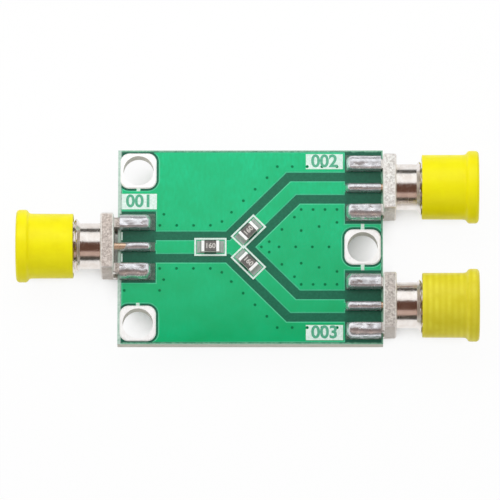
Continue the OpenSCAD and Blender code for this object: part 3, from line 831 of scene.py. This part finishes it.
def heap(length, width, height, steps, matrix):
    """A closed heap on a flat pad: height is a function of the place along and across the pad. Its
    foot takes the second material."""
    bm = bmesh.new()
    along, across = steps
    top, bottom = [], []
    for i in range(along + 1):
        u = length * (i / along - 0.5)
        for j in range(across + 1):
            v = width * (j / across - 0.5)
            top.append(bm.verts.new((u, v, height(u, v))))
            bottom.append(bm.verts.new((u, v, 0.0)))
    wide = across + 1
    for i in range(along):
        for j in range(across):
            a, b = i * wide + j, (i + 1) * wide + j
            c, d = b + 1, a + 1
            face = bm.faces.new([top[a], top[b], top[c], top[d]])
            face.material_index = 1 if max(v.co.z for v in face.verts) <= SOLDER_FOOT else 0
            bm.faces.new([bottom[d], bottom[c], bottom[b], bottom[a]])
    rim = [i * wide for i in range(along + 1)] + [along * wide + j for j in range(1, wide)]
    rim += [i * wide + across for i in range(along - 1, -1, -1)] + [j for j in range(across - 1, 0, -1)]
    for a, b in zip(rim, rim[1:] + rim[:1]):
        bm.faces.new([bottom[a], bottom[b], top[b], top[a]])
    bm.transform(matrix)
    bmesh.ops.recalc_face_normals(bm, faces=bm.faces)
    return bm


def leg_height(seed, side, end):
    """The height of the solder mound over a leg. The leg lies along the pad's inner side."""
    inner = LEG_INNER - PAD_Y - 0.15

    def height(u, v):
        w = v * side + LEG_HEAP_SHIFT
        lump = noise.noise(Vector((u * 0.9, v * 0.9, seed))) * 0.1
        over = LEG_TOP + 0.12 + 0.06 * smooth(u, 0.6, -1.2)
        outer = PAD_W / 2 - 0.03 - 0.05 * noise.noise(Vector((u * 0.7, seed, 3.0)))
        corner = 0.45 * (max(w, 0.0) / PAD_W * 2) ** 2 + 0.1 * (min(w, 0.0) / PAD_W * 2) ** 2
        body = over * mound(w, outer, -0.15) * shoulder(w, inner, inner + 0.32)
        body *= mound(u, end + corner, end + corner + 0.6)
        return max(body + lump * smooth(body, 0.2, 0.9), SOLDER_FILM)
    return height


def pin_height(seed, end, bare):
    """The height of the bead along the centre pin. It may leave the pin bare at the board's edge."""
    half = BEAD_W / 2

    def height(u, v):
        lump = noise.noise(Vector((u * 0.8, v * 0.8, seed))) * 0.08
        crown = math.sqrt(max(1.0 - abs(v / half) ** 3, 0.0))
        peak = PIN_TOP + 0.08 - 0.4 * bare * smooth(u, 1.0, 2.0)
        body = (peak + lump) * crown * shoulder(u, end + 0.25 * (v / half) ** 2, end + 0.5)
        return max(body, SOLDER_FILM)
    return height


def solder(port, index):
    """The four joints of a connector's legs, two of them under the board, and the bead on its pin."""
    flat = port_matrix(port, gap=False)
    end = -PAD_L / 2 + (END_GAP_A if port == "a" else END_GAP)
    # The joints' low foot takes a dark colour, partly flux residue and partly painted shade
    metal = [SOLDER, FLUX_AND_SHADE]
    joints = bmesh.new()
    for number, (side, face) in enumerate([(1, 1), (-1, 1), (1, -1), (-1, -1)]):
        level = COPPER_TOP if face > 0 else COPPER_BOTTOM
        across = side * (PAD_Y + LEG_HEAP_SHIFT)
        place = Matrix.Translation((PAD_X, across, level - AXIS_Z))
        upright = Matrix.Diagonal((1.0, 1.0, face, 1.0))
        height = leg_height(index * 11.0 + number * 3.0, side, end)
        append(joints, heap(PAD_L, LEG_HEAP_W, height, LEG_STEPS, flat @ (place @ upright)))
    piece(f"port_{port}_leg_joints", joints, metal, "splitter",
          [f"port_{port}_ground_solder"], sharp=60.0)
    place = Matrix.Translation((PAD_X, 0.0, COPPER_TOP - AXIS_Z))
    height = pin_height(index * 5.0 + 2.0, end, port == "a")
    bead = heap(PAD_L, BEAD_W, height, BEAD_STEPS, flat @ place)
    piece(f"port_{port}_pin_joint", bead, metal, "splitter",
          [f"port_{port}_signal_solder"], sharp=60.0)


# Ink
def numerals(name, text, size, matrix, material):
    """Plain numbers as a thin flat piece, centred at the matrix."""
    curve = bpy.data.curves.new(name, "FONT")
    curve.body = text
    curve.size = size
    curve.offset = 0.03 * size
    curve.extrude = 0.004
    curve.align_x = "CENTER"
    curve.align_y = "CENTER"
    source = bpy.data.objects.new(name, curve)
    scene.collection.objects.link(source)
    bpy.context.view_layer.update()
    graph = bpy.context.evaluated_depsgraph_get()
    mesh = bpy.data.meshes.new_from_object(source.evaluated_get(graph))
    bpy.data.objects.remove(source)
    bm = bmesh.new()
    bm.from_mesh(mesh)
    bpy.data.meshes.remove(mesh)
    bm.transform(matrix)
    piece(name, bm, [material], "splitter")


def labels():
    """A number in each label box and on each resistor, with that of port A turned to the front."""
    scale = Matrix.Scale(MM, 4)
    for number, (port, (x, y)) in enumerate(LABELS.items(), 1):
        matrix = scale @ Matrix.Translation((x, y, INK_TOP + PRINT_LIFT))
        numerals(f"port_{port}_numeral", f"00{number}", LABEL_SIZE, matrix, NUMERAL)
    for port in PORTS:
        matrix = chip_matrix(port) @ Matrix.Translation((0.0, 0.0, CHIP_TOP + PRINT_LIFT))
        turned = matrix @ Matrix.Rotation(math.radians(180.0 if port == "a" else 0.0), 4, "Z")
        numerals(f"resistor_{port}_numeral", "160", CHIP_MARK_SIZE, turned, MARK)


# Solids whose shape is already right
def paint(node, material):
    data = nodes[node].data
    data.materials.clear()
    data.materials.append(material)


def plain_nodes():
    """Gives the solids that stay their materials."""
    paint("board_laminate", LAMINATE)
    paint("bottom_ground_plane", MASK)
    paint("silkscreen", INK)
    for port in PORTS:
        paint(f"port_{port}_pads", TIN)
        paint(f"port_{port}_dielectric", PTFE)
        paint(f"port_{port}_contact", GOLD)
        paint(f"resistor_{port}_ceramic", ALUMINA)
        paint(f"resistor_{port}_terminals", CHIP_TIN)
        paint(f"resistor_{port}_overcoat", COAT)
        paint(f"resistor_{port}_solder", CHIP_SOLDER)


# Studio
def stage_piece(name, bm, material):
    """A mesh that stands by the part and doesn't belong to it."""
    mesh = bpy.data.meshes.new(name)
    bm.to_mesh(mesh)
    bm.free()
    mesh.materials.append(material)
    obj = bpy.data.objects.new(name, mesh)
    scene.collection.objects.link(obj)
    return obj


def glowing(name, colour, strength):
    """A material that only gives light."""
    material = bpy.data.materials.new(name)
    material.use_nodes = True
    tree = material.node_tree
    tree.nodes.clear()
    light = tree.nodes.new("ShaderNodeEmission")
    light.inputs["Color"].default_value = colour
    light.inputs["Strength"].default_value = strength
    output = tree.nodes.new("ShaderNodeOutputMaterial")
    tree.links.new(light.outputs[0], output.inputs["Surface"])
    return material


def band(name, start, end, colour, strength):
    """A strip of an arch over the part, which only mirror-like reflections see. Angles are in degrees
    from overhead, positive to the north."""
    radius = 160.0
    half = 240.0
    steps = 8
    bm = bmesh.new()
    rows = []
    for i in range(steps + 1):
        angle = math.radians(start + (end - start) * i / steps)
        y = radius * math.sin(angle) * MM
        z = radius * math.cos(angle) * MM
        rows.append([bm.verts.new((x * MM, y, z)) for x in (-half, half)])
    for first, second in zip(rows, rows[1:]):
        bm.faces.new([first[0], first[1], second[1], second[0]])
    obj = stage_piece(name, bm, glowing(name, colour, strength))
    obj.visible_camera = False
    obj.visible_diffuse = False
    obj.visible_transmission = False
    obj.visible_volume_scatter = False
    obj.visible_shadow = False


def seen_directly(tree):
    """1 for rays from the camera and for mirror or glass rays, 0 for the light that falls on things."""
    path = tree.nodes.new("ShaderNodeLightPath")
    most = path.outputs["Is Camera Ray"]
    for other in ["Is Glossy Ray", "Is Transmission Ray"]:
        node = tree.nodes.new("ShaderNodeMath")
        node.operation = "MAXIMUM"
        tree.links.new(most, node.inputs[0])
        tree.links.new(path.outputs[other], node.inputs[1])
        most = node.outputs[0]
    return most


def floor_material():
    """Pale matte, and white where it is seen directly and lies open to the sky. Under and beside the
    part the white fades with ambient occlusion, a painted shade, and the matte floor's real shadow
    shows."""
    material = bpy.data.materials.new("floor")
    material.use_nodes = True
    tree = material.node_tree
    tree.nodes.clear()
    matte = tree.nodes.new("ShaderNodeBsdfDiffuse")
    matte.inputs["Color"].default_value = (0.93, 0.93, 0.925, 1.0)
    glow = tree.nodes.new("ShaderNodeEmission")
    # Painted shade: ambient occlusion dims the white glow under and beside the part
    occlusion_shade = tree.nodes.new("ShaderNodeAmbientOcclusion")
    occlusion_shade.inputs["Distance"].default_value = 6.0 * MM
    fade = tree.nodes.new("ShaderNodeMapRange")
    fade.inputs["From Min"].default_value = 0.14
    fade.inputs["From Max"].default_value = 0.46
    fade.inputs["To Min"].default_value = 0.0
    fade.inputs["To Max"].default_value = 0.95
    tree.links.new(occlusion_shade.outputs["AO"], fade.inputs["Value"])
    share = tree.nodes.new("ShaderNodeMath")
    share.operation = "MULTIPLY"
    tree.links.new(seen_directly(tree), share.inputs[0])
    tree.links.new(fade.outputs["Result"], share.inputs[1])
    both = tree.nodes.new("ShaderNodeMixShader")
    tree.links.new(share.outputs[0], both.inputs["Fac"])
    tree.links.new(matte.outputs[0], both.inputs[1])
    tree.links.new(glow.outputs[0], both.inputs[2])
    output = tree.nodes.new("ShaderNodeOutputMaterial")
    tree.links.new(both.outputs[0], output.inputs["Surface"])
    return material


def floor():
    """The surface that the caps lie on, a hair under them."""
    half_metres = 3.0
    bm = bmesh.new()
    bmesh.ops.create_grid(bm, x_segments=1, y_segments=1, size=half_metres)
    obj = stage_piece("floor", bm, floor_material())
    obj.location = (0.0, 0.0, -0.02 * MM)


def world():
    """An even white sky, weaker as a light than it looks."""
    made = bpy.data.worlds.new("studio")
    scene.world = made
    made.use_nodes = True
    tree = made.node_tree
    background = tree.nodes["Background"]
    strength = tree.nodes.new("ShaderNodeMapRange")
    tree.links.new(seen_directly(tree), strength.inputs["Value"])
    strength.inputs["To Min"].default_value = 0.63
    strength.inputs["To Max"].default_value = 1.0
    tree.links.new(strength.outputs["Result"], background.inputs["Strength"])
    background.inputs["Color"].default_value = (1.0, 1.0, 1.0, 1.0)


def lamp(name, place, target, width, height, energy):
    """A soft rectangular lamp that mirrors don't show."""
    data = bpy.data.lights.new(name, "AREA")
    data.shape = "RECTANGLE"
    data.size = width * MM
    data.size_y = height * MM
    data.energy = energy
    obj = bpy.data.objects.new(name, data)
    obj.location = Vector(place) * MM
    obj.rotation_mode = "QUATERNION"
    obj.rotation_quaternion = (Vector(target) - Vector(place)).to_track_quat("-Z", "Y")
    obj.visible_camera = False
    obj.visible_glossy = False
    scene.collection.objects.link(obj)


def camera():
    """Stands where the photo was taken from, turned so that the board's long side is level."""
    place = Vector((6.0, -183.4, 793.5))
    aim = Vector((-0.04, -0.33, 3.6))
    back = (place - aim).normalized()
    up = back.cross(Vector((1.0, 0.0, 0.0))).normalized()
    right = up.cross(back)
    turn = Matrix((right, up, back)).transposed()
    data = bpy.data.cameras.new("camera")
    data.lens = 516.0
    data.sensor_width = 36.0
    data.clip_start = 0.01
    data.clip_end = 10.0
    obj = bpy.data.objects.new("camera", data)
    obj.matrix_world = Matrix.Translation(place * MM) @ turn.to_4x4()
    scene.collection.objects.link(obj)
    scene.camera = obj


for port_index, port_name in enumerate(PORTS):
    connector_body(port_name)
    cap(port_name)
    solder(port_name, port_index)
copper()
labels()
plain_nodes()

floor()
world()
lamp("key", (-6.0, 27.0, 53.0), (0.0, 5.0, 3.0), 130.0, 40.0, 0.0256)
band("north_softbox", 13.0, 56.0, (1.0, 1.0, 1.0, 1.0), 1.1)
band("north_dark", 60.0, 84.0, srgb(70, 68, 64), 1.0)
band("overhead_dark", -38.0, 9.0, srgb(96, 66, 54), 1.0)
band("south_glow", -63.0, -38.0, srgb(200, 174, 162), 1.0)
band("south_dark", -88.0, -63.0, srgb(70, 68, 62), 1.0)
camera()
